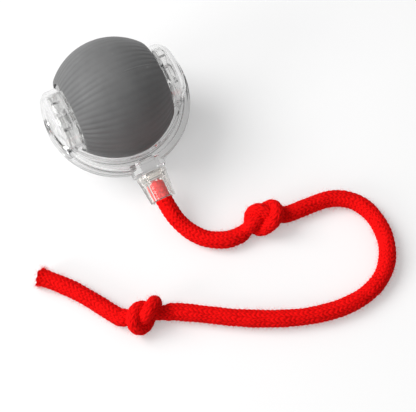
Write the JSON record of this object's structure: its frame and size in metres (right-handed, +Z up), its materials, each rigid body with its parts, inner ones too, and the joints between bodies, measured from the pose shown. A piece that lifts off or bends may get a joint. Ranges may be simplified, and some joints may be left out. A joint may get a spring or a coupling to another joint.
{
  "type": "self-rolling cat toy ball",
  "caption": "Motor-driven cat toy: a ribbed grey barrel roller turning in a clear yoke that completes it to a ball, with a knotted red rope tail held in a tapered cup.",
  "frame": {"origin": "on the surface the ball rests on, under the middle of the ball and its tail cup, with the rope left out", "axes": "+X along the roller's axle towards the charging socket, +Y forwards, away from the tail, +Z up"},
  "size_m": [0.0984, 0.1033, 0.0358],
  "materials": {
    "clear_plastic": "polished, water clear",
    "sleeve_rubber": "matte grey silicone",
    "drum_plastic": "moulded, dark",
    "gear_plastic": "natural nylon",
    "pinion_brass": "turned",
    "bare_steel": "plated",
    "motor_steel": "drawn can",
    "white_plastic": "moulded, white",
    "cell_foil": "foil pouch",
    "board_laminate": "white solder mask",
    "black_plastic": "moulded, black",
    "lamp_resin": "water clear resin",
    "rope_cotton": "knitted, red"
  },
  "bodies": {
    "carrier": {"yoke_frame": "clear_plastic", "right_ear_hub": "clear_plastic", "left_ear_hub": "clear_plastic", "right_end_cap": "clear_plastic", "left_end_cap": "clear_plastic", "tail_ferrule": "clear_plastic", "idler_pin": "bare_steel", "cap_screws": "bare_steel", "charging_port": "bare_steel", "motion_sensor": "bare_steel", "motor": "motor_steel", "inner_frame": "white_plastic", "battery": "cell_foil", "circuit_board": "board_laminate", "charging_board": "board_laminate", "button_switch": "black_plastic", "control_chip": "black_plastic", "driver_chip": "black_plastic", "status_lamp": "lamp_resin", "rope_lead": "rope_cotton", "first_knot": "rope_cotton", "rope_bight": "rope_cotton", "second_knot": "rope_cotton", "rope_end": "rope_cotton"},
    "drum": {"silicone_sleeve": "sleeve_rubber", "right_drum_shell": "drum_plastic", "left_drum_shell": "drum_plastic", "ring_gear": "gear_plastic"},
    "idler": {"idler_gear": "gear_plastic"},
    "motor_shaft": {"motor_pinion": "pinion_brass"},
    "button": {"power_button": "clear_plastic"}
  },
  "joints": [
    {"name": "roller_spin", "type": "hinge", "parent": "carrier", "child": "drum", "pos_m": [0, 0.00726, 0.0179], "axis": [1, 0, 0], "continuous": true},
    {"name": "idler_spin", "type": "hinge", "parent": "carrier", "child": "idler", "pos_m": [0, 0.00418, 0.02636], "axis": [1, 0, 0], "continuous": true},
    {"name": "motor_spin", "type": "hinge", "parent": "carrier", "child": "motor_shaft", "pos_m": [0, 0.00649, 0.02001], "axis": [1, 0, 0], "continuous": true},
    {"name": "button_press", "type": "slide", "parent": "carrier", "child": "button", "axis": [1, 0, 0], "range_m": [0, 0.0004], "stiffness_N_per_m": 200}
  ],
  "couplings": [
    {"joint": "idler_spin", "follows": "roller_spin", "ratio": 4},
    {"joint": "motor_spin", "follows": "roller_spin", "ratio": -8}
  ]
}
